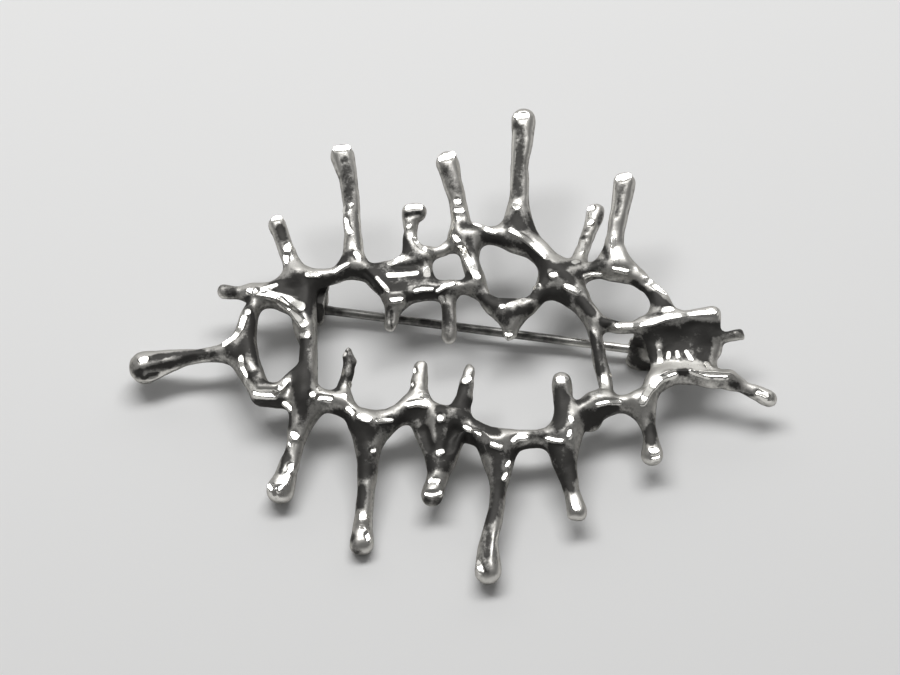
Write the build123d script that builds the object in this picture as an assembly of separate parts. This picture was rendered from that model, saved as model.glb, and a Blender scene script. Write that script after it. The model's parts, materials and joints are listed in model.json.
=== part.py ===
from build123d import *
import math
import os
from collections import namedtuple

import numpy as np

# Openwork dancers brooch: one silver casting of rings, bars, spikes and drips, lying face up,
# with the ears of a pin hinge and a catch soldered under it. A riveted pin stem swings down
# from the back. Millimetres, +X right, +Y to the back, +Z up. The origin is on the surface
# that the brooch rests on, under the middle of the casting.

# Casting
brooch_length = 72.0      # the outer beads end just inside it, left and right
brooch_depth = 58.0       # and these, front and back
crest_height = 10.0       # height of the tall back drips' beads above the surface
bar_width = 2.0           # an ordinary cast bar, measured across
web_thickness = 1.1       # the film of metal drawn between two bars
fillet_reach = 1.2        # how far apart two bars still run together
facet_size = 0.88         # grid step of the faceted skin

# Pin findings
wire_diameter = 1.0       # pin stem
pin_height = 1.6          # middle of the stem above the surface
stem_overhang = 2.0       # stem's end past the middle of the catch
point_length = 3.2        # length of the stem's taper
point_diameter = 0.3      # blunt end of the taper
rivet_diameter = 0.9
rivet_head = 1.6
rivet_head_height = 0.35
rivet_gap = 0.03          # between the rivet and the ears
eye_diameter = 2.6        # the stem's flattened eye
eye_thickness = 1.2
neck_length = 1.1         # taper from the eye to the round wire
neck_diameter = 1.15      # where it leaves the eye
eye_clearance = 0.05      # round the rivet in the eye
ear_thickness = 0.8
ear_clearance = 0.1       # each side of the eye
hinge_setback = 0.9       # hinge's middle in front of the back bar's middle line
hinge_inset = 0.8         # and to the left of that bar's second station
plate_thickness = 1.0     # hinge plate soldered under the left corner
plate_margin = 0.15       # plate past the ears
catch_width = 2.4         # along the stem
catch_wall = 0.7
catch_clearance = 0.25    # round the stem in the catch

half_length = brooch_length / 2
half_depth = brooch_depth / 2

# Every bar, spike and drip is a row of stations. x and y are shares of half the length and
# depth, rise is a share of the crest height, width is a share of the bar width, and tall is
# the height of the section over its width.
Station = namedtuple("Station", "x y rise width tall")
STRANDS = {
    "back drip 1": [
        (-0.540, 0.495, 0.79, 1.00, 1.0), (-0.520, 0.425, 0.74, 0.85, 1.0), (-0.500, 0.360, 0.68, 0.95, 1.0),
        (-0.475, 0.295, 0.61, 1.20, 1.0),
    ],
    "back drip 2": [
        (-0.340, 0.770, 1.01, 1.35, 1.0), (-0.320, 0.675, 0.96, 1.10, 1.0), (-0.310, 0.565, 0.89, 0.95, 1.0),
        (-0.305, 0.460, 0.79, 1.00, 1.0), (-0.300, 0.340, 0.65, 1.30, 1.0),
    ],
    "back drip 3": [
        (-0.125, 0.540, 0.81, 0.80, 1.0), (-0.125, 0.480, 0.75, 0.80, 1.0), (-0.130, 0.420, 0.69, 0.60, 1.0),
        (-0.120, 0.360, 0.65, 0.90, 1.0),
    ],
    "back drip 3 hook": [
        (-0.125, 0.545, 0.81, 0.75, 1.0), (-0.100, 0.550, 0.82, 0.90, 1.0),
    ],
    "back drip 4": [
        (-0.010, 0.740, 0.99, 1.35, 1.0), (0.005, 0.660, 0.95, 1.10, 1.0), (0.020, 0.595, 0.87, 1.00, 1.0),
        (0.030, 0.525, 0.81, 1.10, 1.0), (0.030, 0.455, 0.74, 1.00, 1.0),
    ],
    "drip 4 ridge": [
        (0.030, 0.455, 0.73, 0.90, 1.0), (0.050, 0.360, 0.69, 0.60, 1.5), (0.080, 0.275, 0.65, 0.70, 1.5),
    ],
    "back drip 5": [
        (0.230, 0.940, 1.04, 1.40, 1.0), (0.225, 0.840, 1.01, 1.20, 1.0), (0.215, 0.745, 0.95, 1.05, 1.0),
        (0.215, 0.635, 0.89, 1.10, 1.0), (0.210, 0.535, 0.82, 1.35, 1.0), (0.210, 0.450, 0.72, 1.60, 1.0),
    ],
    "back drip 6": [
        (0.455, 0.595, 0.63, 1.05, 1.0), (0.435, 0.510, 0.63, 0.85, 1.0), (0.415, 0.430, 0.63, 0.75, 1.0),
        (0.395, 0.355, 0.63, 0.95, 1.0), (0.370, 0.290, 0.63, 1.10, 1.0),
    ],
    "back drip 7": [
        (0.540, 0.645, 0.97, 1.30, 1.0), (0.530, 0.555, 0.93, 1.10, 1.0), (0.515, 0.470, 0.87, 1.00, 1.0),
        (0.505, 0.395, 0.79, 0.95, 1.0), (0.510, 0.325, 0.69, 1.30, 1.0),
    ],
    "left stub": [
        (-0.700, 0.245, 0.51, 0.85, 1.0), (-0.660, 0.240, 0.51, 0.70, 1.0), (-0.610, 0.230, 0.53, 0.90, 1.0),
    ],
    "left drip": [
        (-0.935, -0.060, 0.31, 1.85, 1.0), (-0.875, -0.040, 0.33, 1.35, 1.0), (-0.815, -0.030, 0.37, 0.95, 1.0),
        (-0.755, -0.025, 0.40, 0.75, 1.0), (-0.670, -0.020, 0.44, 1.10, 1.2),
    ],
    "left ring": [
        (-0.585, 0.210, 0.55, 0.90, 1.3), (-0.620, 0.130, 0.52, 0.75, 1.6), (-0.630, 0.025, 0.48, 0.90, 1.6),
        (-0.615, -0.090, 0.46, 1.10, 1.6), (-0.575, -0.210, 0.44, 1.00, 2.0), (-0.520, -0.220, 0.44, 1.00, 2.0),
        (-0.470, -0.145, 0.47, 0.90, 1.6),
    ],
    "left wall": [
        (-0.450, 0.245, 0.58, 1.20, 1.3), (-0.440, 0.105, 0.53, 1.00, 1.6), (-0.435, -0.025, 0.50, 1.00, 1.6),
        (-0.435, -0.135, 0.48, 1.10, 1.6), (-0.440, -0.240, 0.47, 1.30, 1.5),
    ],
    "left ring top": [
        (-0.615, 0.235, 0.53, 0.80, 1.0), (-0.545, 0.205, 0.56, 1.00, 1.3), (-0.470, 0.160, 0.55, 1.00, 1.3),
        (-0.455, 0.060, 0.52, 0.80, 1.4),
    ],
    "left brace": [
        (-0.585, 0.215, 0.55, 0.70, 1.0), (-0.515, 0.260, 0.59, 0.90, 1.2), (-0.475, 0.285, 0.61, 1.10, 1.2),
    ],
    "back bar": [
        (-0.475, 0.280, 0.60, 1.00, 1.2), (-0.410, 0.280, 0.61, 0.80, 1.3), (-0.360, 0.290, 0.63, 0.85, 1.3),
        (-0.305, 0.330, 0.65, 1.10, 1.2), (-0.255, 0.300, 0.64, 0.95, 1.3), (-0.210, 0.240, 0.61, 0.95, 1.3),
        (-0.170, 0.190, 0.59, 1.05, 1.2),
    ],
    "inner spike 1": [
        (-0.170, 0.190, 0.59, 1.00, 1.0), (-0.180, 0.125, 0.55, 0.80, 1.0), (-0.185, 0.085, 0.51, 0.70, 1.0),
    ],
    "middle bar": [
        (-0.170, 0.195, 0.59, 0.90, 1.2), (-0.115, 0.215, 0.61, 0.75, 1.3), (-0.060, 0.215, 0.62, 0.70, 1.3),
        (-0.010, 0.225, 0.63, 0.75, 1.3), (0.035, 0.235, 0.64, 0.75, 1.3), (0.085, 0.235, 0.64, 0.75, 1.3),
    ],
    "leaf edge": [
        (-0.205, 0.310, 0.63, 0.80, 1.0), (-0.160, 0.335, 0.64, 0.80, 1.0), (-0.120, 0.360, 0.65, 0.80, 1.0),
    ],
    "small ring back": [
        (-0.120, 0.420, 0.68, 0.65, 1.2), (-0.095, 0.395, 0.68, 0.55, 1.3), (-0.045, 0.385, 0.68, 0.60, 1.3),
        (-0.005, 0.410, 0.69, 0.65, 1.2), (0.030, 0.440, 0.71, 0.80, 1.2),
    ],
    "small ring side": [
        (-0.085, 0.365, 0.66, 0.65, 1.3), (-0.085, 0.305, 0.64, 0.60, 1.3), (-0.065, 0.230, 0.63, 0.65, 1.3),
    ],
    "inner spike 2": [
        (-0.010, 0.225, 0.62, 0.90, 1.0), (-0.005, 0.125, 0.55, 0.80, 1.0), (-0.005, 0.040, 0.48, 0.85, 1.0),
    ],
    "large ring back": [
        (0.035, 0.460, 0.74, 0.80, 1.2), (0.095, 0.460, 0.73, 0.95, 1.3), (0.155, 0.455, 0.72, 0.90, 1.2),
        (0.220, 0.445, 0.72, 1.10, 1.2), (0.280, 0.380, 0.69, 0.95, 1.3), (0.315, 0.300, 0.65, 1.00, 1.3),
    ],
    "large ring front": [
        (0.070, 0.430, 0.72, 0.90, 1.3), (0.065, 0.335, 0.68, 0.70, 1.4), (0.080, 0.225, 0.64, 0.70, 1.4),
        (0.125, 0.155, 0.61, 0.65, 1.4), (0.185, 0.120, 0.60, 0.75, 1.3), (0.245, 0.155, 0.61, 0.60, 1.4),
        (0.285, 0.220, 0.63, 0.75, 1.4), (0.315, 0.295, 0.65, 1.00, 1.3),
    ],
    "inner spike 3": [
        (0.185, 0.120, 0.60, 1.00, 1.0), (0.185, 0.075, 0.55, 0.80, 1.0), (0.180, 0.035, 0.51, 0.60, 1.0),
    ],
    "knob": [
        (0.315, 0.300, 0.66, 1.10, 1.2), (0.355, 0.255, 0.63, 1.10, 1.4), (0.375, 0.210, 0.61, 1.00, 1.5),
    ],
    "right ring back": [
        (0.345, 0.275, 0.64, 0.90, 1.3), (0.400, 0.290, 0.65, 0.80, 1.3), (0.455, 0.310, 0.67, 0.75, 1.3),
        (0.510, 0.310, 0.69, 1.00, 1.3), (0.570, 0.280, 0.67, 0.85, 1.3), (0.615, 0.225, 0.65, 0.80, 1.3),
        (0.645, 0.165, 0.63, 0.90, 1.3), (0.660, 0.100, 0.63, 0.90, 1.2),
    ],
    "trough back lip": [
        (0.375, 0.210, 0.61, 0.90, 1.5), (0.410, 0.145, 0.59, 0.70, 1.5), (0.455, 0.085, 0.59, 0.70, 1.5),
        (0.515, 0.050, 0.61, 0.60, 1.4), (0.595, 0.050, 0.64, 0.60, 1.2), (0.685, 0.070, 0.67, 0.60, 1.2),
        (0.760, 0.090, 0.68, 0.60, 1.2), (0.800, 0.090, 0.68, 0.60, 1.2),
    ],
    "cross strut": [
        (0.355, 0.245, 0.62, 1.00, 1.3), (0.400, 0.190, 0.60, 0.85, 1.3), (0.430, 0.095, 0.57, 0.75, 1.3),
        (0.445, 0.010, 0.54, 0.75, 1.3), (0.455, -0.085, 0.51, 0.80, 1.3), (0.470, -0.180, 0.48, 0.75, 1.4),
        (0.470, -0.260, 0.46, 0.90, 1.4),
    ],
    "trough front lip": [
        (0.570, -0.265, 0.46, 0.95, 1.3), (0.595, -0.220, 0.47, 0.80, 1.3), (0.620, -0.170, 0.48, 0.75, 1.3),
        (0.665, -0.145, 0.49, 0.70, 1.3), (0.725, -0.140, 0.49, 0.70, 1.3), (0.790, -0.155, 0.49, 0.75, 1.3),
        (0.840, -0.160, 0.49, 0.80, 1.2),
    ],
    "trough floor": [
        (0.625, -0.025, 0.51, 0.60, 1.0), (0.725, -0.020, 0.46, 0.55, 1.0), (0.800, -0.015, 0.47, 0.60, 1.0),
    ],
    "right stub": [
        (0.800, 0.020, 0.57, 0.75, 1.0), (0.845, 0.020, 0.56, 0.60, 1.0), (0.885, 0.040, 0.55, 0.70, 1.0),
    ],
    "right drip": [
        (0.840, -0.155, 0.49, 0.85, 1.0), (0.895, -0.185, 0.44, 0.75, 1.0), (0.965, -0.215, 0.36, 0.95, 1.0),
    ],
    "front bar": [
        (-0.440, -0.230, 0.47, 1.10, 1.4), (-0.380, -0.250, 0.47, 0.85, 1.5), (-0.325, -0.270, 0.46, 1.00, 1.5),
        (-0.280, -0.330, 0.45, 0.90, 1.6), (-0.220, -0.360, 0.44, 0.85, 1.6), (-0.170, -0.320, 0.44, 0.90, 1.6),
        (-0.125, -0.275, 0.45, 1.00, 1.5), (-0.080, -0.275, 0.45, 1.00, 1.5), (-0.035, -0.315, 0.45, 0.90, 1.6),
        (0.015, -0.340, 0.45, 1.00, 1.6), (0.065, -0.380, 0.44, 0.90, 1.6), (0.125, -0.430, 0.43, 1.00, 1.5),
        (0.185, -0.420, 0.44, 0.95, 1.5), (0.250, -0.415, 0.44, 0.85, 1.5), (0.310, -0.410, 0.44, 1.00, 1.5),
        (0.355, -0.375, 0.45, 1.10, 1.6), (0.390, -0.305, 0.45, 1.00, 1.6), (0.440, -0.270, 0.46, 1.00, 1.5),
        (0.510, -0.265, 0.46, 0.80, 1.4), (0.570, -0.265, 0.46, 0.90, 1.3),
    ],
    "front spike 1": [
        (-0.330, -0.245, 0.47, 1.00, 1.2), (-0.320, -0.185, 0.55, 0.70, 1.0), (-0.305, -0.105, 0.61, 0.70, 1.0),
        (-0.320, -0.055, 0.67, 0.50, 1.0),
    ],
    "front spike 2": [
        (-0.100, -0.265, 0.47, 1.10, 1.2), (-0.095, -0.195, 0.56, 0.95, 1.0), (-0.090, -0.130, 0.62, 0.75, 1.0),
    ],
    "front spike 3": [
        (0.025, -0.320, 0.47, 1.10, 1.2), (0.040, -0.245, 0.53, 0.95, 1.0), (0.050, -0.185, 0.59, 0.80, 1.0),
        (0.060, -0.140, 0.63, 0.60, 1.0),
    ],
    "front spike 4": [
        (0.340, -0.390, 0.47, 1.20, 1.2), (0.340, -0.285, 0.53, 1.10, 1.0), (0.335, -0.195, 0.59, 1.10, 1.0),
    ],
    "front stub": [
        (0.430, -0.265, 0.46, 1.20, 1.2), (0.425, -0.320, 0.35, 1.00, 1.0),
    ],
    "front drip 1": [
        (-0.445, -0.280, 0.46, 1.30, 1.2), (-0.460, -0.365, 0.39, 1.05, 1.0), (-0.475, -0.455, 0.31, 1.00, 1.0),
        (-0.495, -0.530, 0.25, 1.20, 1.0), (-0.510, -0.585, 0.20, 1.55, 1.0),
    ],
    "front drip 2": [
        (-0.255, -0.365, 0.43, 1.50, 1.2), (-0.250, -0.455, 0.36, 1.20, 1.0), (-0.250, -0.560, 0.28, 1.05, 1.0),
        (-0.260, -0.695, 0.19, 0.95, 1.0), (-0.265, -0.805, 0.13, 1.30, 1.0),
    ],
    "front drip 3": [
        (-0.035, -0.350, 0.43, 1.50, 1.2), (-0.030, -0.450, 0.38, 1.20, 1.0), (-0.035, -0.540, 0.33, 0.95, 1.0),
        (-0.055, -0.625, 0.28, 1.25, 1.0),
    ],
    "front drip 4": [
        (0.145, -0.450, 0.42, 1.50, 1.2), (0.145, -0.575, 0.35, 0.95, 1.0), (0.135, -0.695, 0.30, 0.85, 1.0),
        (0.110, -0.835, 0.25, 1.10, 1.0), (0.110, -0.935, 0.20, 1.45, 1.0),
    ],
    "front drip 5": [
        (0.335, -0.415, 0.43, 1.40, 1.2), (0.340, -0.505, 0.38, 1.25, 1.0), (0.360, -0.615, 0.32, 0.85, 1.0),
        (0.375, -0.700, 0.28, 1.10, 1.0),
    ],
    "front drip 6": [
        (0.570, -0.265, 0.46, 1.10, 1.2), (0.590, -0.325, 0.42, 0.85, 1.1), (0.600, -0.380, 0.38, 0.75, 1.0),
        (0.605, -0.455, 0.32, 1.25, 1.0),
    ],
}

# A web is a film between three stations: strand and row of each corner, then its thickness
# as a share of the web thickness.
Web = namedtuple("Web", "first second third thickness")
WEBS = [
    Web(("left ring", 1), ("left ring", 3), ("left drip", 4), 1.09),
    Web(("left drip", 4), ("left ring", 3), ("left ring", 4), 1.27),
    Web(("left ring top", 1), ("left wall", 0), ("left ring top", 2), 1.09),
    Web(("left brace", 1), ("back bar", 1), ("left wall", 0), 1.09),
    Web(("front bar", 3), ("front bar", 5), ("front drip 2", 1), 1.45),
    Web(("front bar", 6), ("front bar", 10), ("front drip 3", 2), 1.36),
    Web(("front bar", 10), ("front bar", 12), ("front drip 4", 1), 1.27),
    Web(("front bar", 14), ("front bar", 16), ("front drip 5", 1), 1.36),
    Web(("leaf edge", 0), ("small ring side", 0), ("small ring side", 2), 1.00),
    Web(("leaf edge", 0), ("middle bar", 1), ("small ring side", 2), 1.00),
    Web(("leaf edge", 0), ("middle bar", 0), ("middle bar", 1), 1.00),
    Web(("large ring back", 2), ("large ring back", 4), ("back drip 5", 4), 1.18),
    Web(("large ring front", 3), ("large ring front", 5), ("inner spike 3", 1), 1.09),
    Web(("large ring back", 4), ("right ring back", 1), ("knob", 1), 1.27),
    Web(("large ring front", 6), ("knob", 2), ("knob", 0), 1.45),
    Web(("right ring back", 2), ("right ring back", 4), ("back drip 7", 3), 1.09),
    Web(("right ring back", 6), ("trough back lip", 5), ("trough back lip", 4), 1.09),
    Web(("front bar", 0), ("front bar", 1), ("front drip 1", 1), 1.27),
    Web(("left ring", 4), ("left ring", 5), ("front drip 1", 0), 1.18),
    Web(("trough front lip", 0), ("trough front lip", 2), ("front drip 6", 1), 1.00),
    Web(("trough back lip", 4), ("trough back lip", 5), ("trough floor", 1), 1.00),
    Web(("trough back lip", 4), ("trough floor", 0), ("trough floor", 1), 1.00),
    Web(("trough back lip", 5), ("trough back lip", 7), ("trough floor", 1), 1.00),
    Web(("trough back lip", 7), ("trough floor", 2), ("trough floor", 1), 1.00),
    Web(("trough floor", 0), ("trough floor", 1), ("trough front lip", 2), 1.00),
    Web(("trough floor", 1), ("trough front lip", 2), ("trough front lip", 4), 1.00),
    Web(("trough floor", 1), ("trough front lip", 4), ("trough front lip", 5), 1.00),
    Web(("trough floor", 1), ("trough floor", 2), ("trough front lip", 5), 1.00),
]


def place(strand, row):
    """Middle of one station, in millimetres."""
    station = Station(*STRANDS[strand][row])
    return np.array([
        station.x * half_length,
        station.y * half_depth,
        station.rise * crest_height,
    ])


def strand_distance(points, strand):
    """Distance from points to the skin of a bar that runs through its stations."""
    nearest = np.full(len(points), np.inf)
    for row in range(len(STRANDS[strand]) - 1):
        start = Station(*STRANDS[strand][row])
        end = Station(*STRANDS[strand][row + 1])
        origin = place(strand, row)
        along = place(strand, row + 1) - origin
        share = np.clip((points - origin) @ along / (along @ along), 0, 1)
        offset = points - origin - share[:, None] * along
        radius = (start.width + share * (end.width - start.width)) * bar_width / 2
        offset[:, 2] /= start.tall + share * (end.tall - start.tall)
        nearest = np.minimum(nearest, np.linalg.norm(offset, axis=1) - radius)
    return nearest


def web_distance(points, web):
    """Distance from points to the skin of a flat film between three stations."""
    corners = [place(*web.first), place(*web.second), place(*web.third)]
    side = corners[1] - corners[0]
    other = corners[2] - corners[0]
    normal = np.cross(side, other)
    normal /= np.linalg.norm(normal)
    inside = np.ones(len(points), bool)
    nearest = np.full(len(points), np.inf)
    for corner in range(3):
        start = corners[corner]
        edge = corners[(corner + 1) % 3] - start
        offset = points - start
        inside &= offset @ np.cross(normal, edge) >= 0
        share = np.clip(offset @ edge / (edge @ edge), 0, 1)
        nearest = np.minimum(nearest, np.linalg.norm(offset - share[:, None] * edge, axis=1))
    flat = np.abs((points - corners[0]) @ normal)
    nearest = np.where(inside, flat, nearest)
    return nearest - web.thickness * web_thickness / 2


def blend(first, second):
    """Union of two skins that run together where they are closer than the fillet reach."""
    overlap = np.maximum(fillet_reach - np.abs(first - second), 0) / fillet_reach
    return np.minimum(first, second) - overlap ** 2 * fillet_reach / 4


def casting_distance(points):
    """Signed distance from points to the whole casting, negative inside the metal."""
    reach = bar_width + fillet_reach
    result = np.full(len(points), reach)
    members = [(strand_distance, name, [(name, row) for row in range(len(rows))])
               for name, rows in STRANDS.items()]
    members += [(web_distance, web, web[:3]) for web in WEBS]
    for distance, member, stations in members:
        middles = np.array([place(*station) for station in stations])
        low = middles.min(axis=0) - 2 * reach
        high = middles.max(axis=0) + 2 * reach
        near = np.all((points >= low) & (points <= high), axis=1)
        result[near] = blend(result[near], distance(points[near], member))
    return result


# The skin is a net of one vertex in each grid cell that the surface crosses.
CORNERS = np.array([[x, y, z] for x in (0, 1) for y in (0, 1) for z in (0, 1)])
EDGES = [(i, j) for i in range(8) for j in range(i + 1, 8)
         if np.abs(CORNERS[i] - CORNERS[j]).sum() == 1]


def connected(members):
    """Whether a cell's corners hang together along the cell's edges."""
    reached = {members[0]}
    for _ in members:
        for i, j in EDGES:
            if i in members and j in members and (i in reached or j in reached):
                reached |= {i, j}
    return len(reached) == len(members)


def pinched(code):
    """Whether a cell with these inside corners would join two sheets at one vertex."""
    inside = [i for i in range(8) if code >> i & 1]
    outside = [i for i in range(8) if not code >> i & 1]
    if not inside or not outside:
        return False
    if not connected(inside) or not connected(outside):
        return True
    for axis in range(3):
        for side in (0, 1):
            on_face = [i for i in inside if CORNERS[i][axis] == side]
            if len(on_face) == 2 and np.abs(CORNERS[on_face[0]] - CORNERS[on_face[1]]).sum() == 2:
                return True
    return False


PINCHED = np.array([pinched(code) for code in range(256)])


def cell_codes(distance):
    """Which corners of every grid cell lie inside the metal, one bit each."""
    inside = (distance < 0).astype(int)
    shape = np.array(distance.shape) - 1
    return sum(
        inside[x:x + shape[0], y:y + shape[1], z:z + shape[2]] << i
        for i, (x, y, z) in enumerate(CORNERS)
    )


def part_pinched_cells(distance):
    """Moves the nearest corner of each pinched cell across the surface until none is left."""
    shift = facet_size / 10
    codes = cell_codes(distance)
    while PINCHED[codes].any():
        for cell in np.argwhere(PINCHED[codes]):
            around = [tuple(cell + corner) for corner in CORNERS]
            nearest = min(around, key=lambda corner: abs(distance[corner]))
            distance[nearest] = -math.copysign(abs(distance[nearest]) + shift, distance[nearest])
        codes = cell_codes(distance)
    return codes


def casting_skin():
    """Vertices and four-cornered facets of the casting's skin."""
    middles = np.array([place(name, row) for name, rows in STRANDS.items()
                        for row in range(len(rows))])
    margin = 2 * bar_width
    low = middles.min(axis=0) - margin
    counts = np.ceil((middles.max(axis=0) + margin - low) / facet_size).astype(int) + 1
    steps = np.stack(np.meshgrid(*[np.arange(n) for n in counts], indexing="ij"), axis=-1)
    distance = casting_distance(low + facet_size * steps.reshape(-1, 3)).reshape(counts)
    least = facet_size / 50
    distance = np.where(distance < 0, np.minimum(distance, -least), np.maximum(distance, least))
    codes = part_pinched_cells(distance)

    cells = np.argwhere((codes > 0) & (codes < 255))
    number = np.full(codes.shape, -1)
    number[tuple(cells.T)] = np.arange(len(cells))
    total = np.zeros((len(cells), 3))
    crossings = np.zeros(len(cells))
    for i, j in EDGES:
        start = cells + CORNERS[i]
        end = cells + CORNERS[j]
        at_start = distance[tuple(start.T)]
        at_end = distance[tuple(end.T)]
        crossed = (at_start < 0) != (at_end < 0)
        share = np.where(crossed, at_start / np.where(crossed, at_start - at_end, 1), 0)
        total += crossed[:, None] * (start + share[:, None] * (end - start))
        crossings += crossed
    vertices = low + facet_size * total / crossings[:, None]

    facets = []
    for axis in range(3):
        before = np.delete(distance, -1, axis)
        after = np.delete(distance, 0, axis)
        side = np.roll([0, 1, 0], axis)
        other = np.roll([0, 0, 1], axis)
        for leaving in (True, False):
            if leaving:
                crossed = np.argwhere((before < 0) & (after > 0))
            else:
                crossed = np.argwhere((before > 0) & (after < 0))
            ring = [crossed - side - other, crossed - other, crossed, crossed - side]
            facet = np.stack([number[tuple(cell.T)] for cell in ring], axis=1)
            facets.append(facet if leaving else facet[:, ::-1])
    return settle(vertices), np.vstack(facets)


def settle(vertices):
    """Draws the net's vertices onto the smooth skin, by less than half a cell."""
    probe = facet_size / 20
    for _ in range(2):
        slope = np.stack([
            (casting_distance(vertices + step) - casting_distance(vertices - step)) / (2 * probe)
            for step in probe * np.eye(3)
        ], axis=1)
        steep = np.maximum((slope ** 2).sum(axis=1), 0.25)
        move = -(casting_distance(vertices) / steep)[:, None] * slope
        length = np.maximum(np.linalg.norm(move, axis=1), probe / 10)
        vertices = vertices + move * np.minimum(1, facet_size / 3 / length)[:, None]
    return vertices


def triangles(vertices, facets):
    """Each four-cornered facet as two triangles, split along its shorter diagonal."""
    corner = vertices[facets]
    straight = np.linalg.norm(corner[:, 0] - corner[:, 2], axis=1)
    crosswise = np.linalg.norm(corner[:, 1] - corner[:, 3], axis=1)
    turned = np.where((straight <= crosswise)[:, None], facets, np.roll(facets, -1, axis=1))
    return np.vstack([turned[:, [0, 1, 2]], turned[:, [0, 2, 3]]])


def faceted_solid(vertices, corners):
    """Closed solid with one flat face for each triangle."""
    points = [Vector(*vertex) for vertex in vertices.tolist()]
    faces = [Face(Wire.make_polygon([points[i] for i in corner])) for corner in corners.tolist()]
    return Solid(Shell(faces))


vertices, facets = casting_skin()
middle = (vertices.min(axis=0) + vertices.max(axis=0)) / 2
set_down = np.array([middle[0], middle[1], vertices[:, 2].min()])
casting = faceted_solid(vertices - set_down, triangles(vertices, facets))

# The stem runs from under the back bar to the catch under the trough's back lip.
bar_point = place("back bar", 1) - set_down
lip_point = place("trough back lip", 4) - set_down
hinge_x = bar_point[0] - hinge_inset
hinge_y = bar_point[1] - hinge_setback
stem_run = math.hypot(lip_point[0] - hinge_x, lip_point[1] - hinge_y)
stem_direction = ((lip_point[0] - hinge_x) / stem_run, (lip_point[1] - hinge_y) / stem_run, 0)

# At the hinge, X runs along the stem, Y along the rivet, and Z = 0 is the surface.
hinge = Plane(origin=(hinge_x, hinge_y, 0), x_dir=stem_direction, z_dir=(0, 0, 1)).location
across = Rot(90, 0, 0)
wire_radius = wire_diameter / 2

ear_offset = eye_thickness / 2 + ear_clearance + ear_thickness / 2
ears_outside = ear_offset + ear_thickness / 2
ear_radius = pin_height
plate_bottom = bar_point[2] - bar_width
plate_length = 2 * (ear_radius + plate_margin)
plate_depth = 2 * (ears_outside + plate_margin)


def hinge_ear(side):
    """One ear: round at the rivet, straight up to the plate, bored for the rivet."""
    round_end = Pos(0, side * ear_offset, pin_height) * across * Cylinder(ear_radius, ear_thickness)
    height = plate_bottom + plate_thickness / 2 - pin_height
    upright = Pos(0, side * ear_offset, pin_height + height / 2) * Box(
        2 * ear_radius, ear_thickness, height)
    bore = Pos(0, side * ear_offset, pin_height) * across * Cylinder(
        rivet_diameter / 2 + rivet_gap, 2 * ear_thickness)
    return round_end + upright - bore


def hinge_plate():
    """Flat plate under the left corner that carries both ears."""
    return Pos(0, 0, plate_bottom + plate_thickness / 2) * Box(
        plate_length, plate_depth, plate_thickness)


def stem_catch():
    """Horseshoe strip over the stem, open downwards, on a post under the trough's lip."""
    inner = wire_radius + catch_clearance
    outer = inner + catch_wall
    arch = Pos(0, 0, pin_height) * Rot(0, 90, 0) * Cylinder(outer, catch_width)
    legs = Pos(0, 0, pin_height / 2) * Box(catch_width, 2 * outer, pin_height)
    bore = Pos(0, 0, pin_height) * Rot(0, 90, 0) * Cylinder(inner, 2 * catch_width)
    mouth = Pos(0, 0, pin_height / 2) * Box(2 * catch_width, 2 * inner, pin_height)
    post_bottom = pin_height + inner + catch_wall / 2
    post_height = lip_point[2] - post_bottom
    post = Pos(0, 0, post_bottom + post_height / 2) * Box(catch_width, catch_wall, post_height)
    return Pos(stem_run, 0, 0) * (arch + legs + post - bore - mouth)


def pin_stem():
    """Flattened eye on the rivet, its neck, a round wire and a tapered point."""
    eye_radius = eye_diameter / 2
    eye = across * Cylinder(eye_radius, eye_thickness)
    bore = across * Cylinder(rivet_diameter / 2 + eye_clearance, 2 * eye_thickness)
    length = stem_run + stem_overhang
    straight = length - point_length
    outline = Polyline(
        (0, 0),
        (0, neck_diameter / 2),
        (eye_radius, neck_diameter / 2),
        (eye_radius + neck_length, wire_radius),
        (straight, wire_radius),
        (length, point_diameter / 2),
        (length, 0),
        close=True,
    )
    wire = revolve(make_face(outline), Axis.X)
    return Pos(0, 0, pin_height) * (eye + wire - bore)


def hinge_rivet():
    """Straight rivet with a low head outside each ear."""
    shank_half = ears_outside + rivet_gap
    outline = Polyline(
        (0, 0),
        (rivet_diameter / 2, 0),
        (rivet_diameter / 2, shank_half),
        (rivet_head / 2, shank_half),
        (rivet_head / 2 - rivet_head_height / 2, shank_half + rivet_head_height),
        (0, shank_half + rivet_head_height),
        close=True,
    )
    half = revolve(make_face(outline), Axis.Y)
    return Pos(0, 0, pin_height) * (half + mirror(half, about=Plane.XZ))


soldered = hinge_plate() + hinge_ear(1) + hinge_ear(-1) + stem_catch()
nodes = {
    "cast_frame": casting + hinge * soldered,
    "pin_stem": hinge * pin_stem(),
    "hinge_rivet": hinge * hinge_rivet(),
}

os.makedirs("parts", exist_ok=True)
for name, shape in nodes.items():
    export_step(shape, f"parts/{name}.step", write_pcurves=name != "cast_frame")
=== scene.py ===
import json
import math
from collections import namedtuple

import bpy
import numpy as np
from mathutils import Matrix, Vector, noise

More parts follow.
